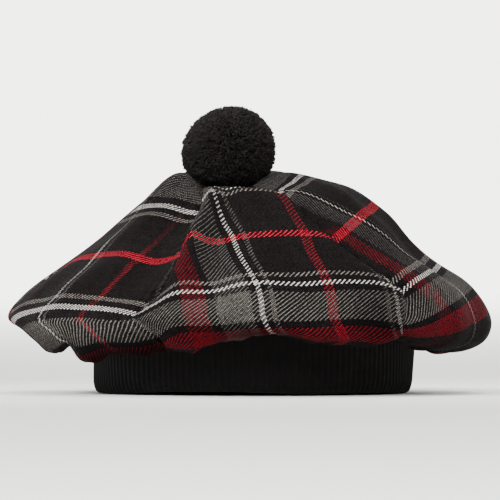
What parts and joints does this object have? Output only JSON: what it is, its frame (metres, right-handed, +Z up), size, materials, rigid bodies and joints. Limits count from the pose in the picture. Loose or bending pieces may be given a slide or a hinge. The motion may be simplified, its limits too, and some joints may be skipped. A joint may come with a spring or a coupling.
{
  "type": "tam o shanter",
  "caption": "Flat full cloth cap of tartan twill gores over a ribbed knitted headband, with a cut-yarn pompom on the tip.",
  "frame": {"origin": "middle of the hat's overall box, on the surface that the headband stands on", "axes": "+Z up from the headband to the pompom, -Y to the front, +X to the right as seen from the front"},
  "size_m": [0.2788, 0.2712, 0.1663],
  "materials": {
    "tartan_twill": "brushed wool-like twill in a red, black, grey and white check",
    "black_rib_knit": "matt ribbed knit",
    "black_yarn": "soft cut yarn"
  },
  "bodies": {
    "root": {"gore_front": "tartan_twill", "gore_front_right": "tartan_twill", "gore_back_right": "tartan_twill", "gore_back": "tartan_twill", "gore_back_left": "tartan_twill", "gore_front_left": "tartan_twill", "headband": "black_rib_knit", "pompom": "black_yarn"}
  },
  "joints": []
}
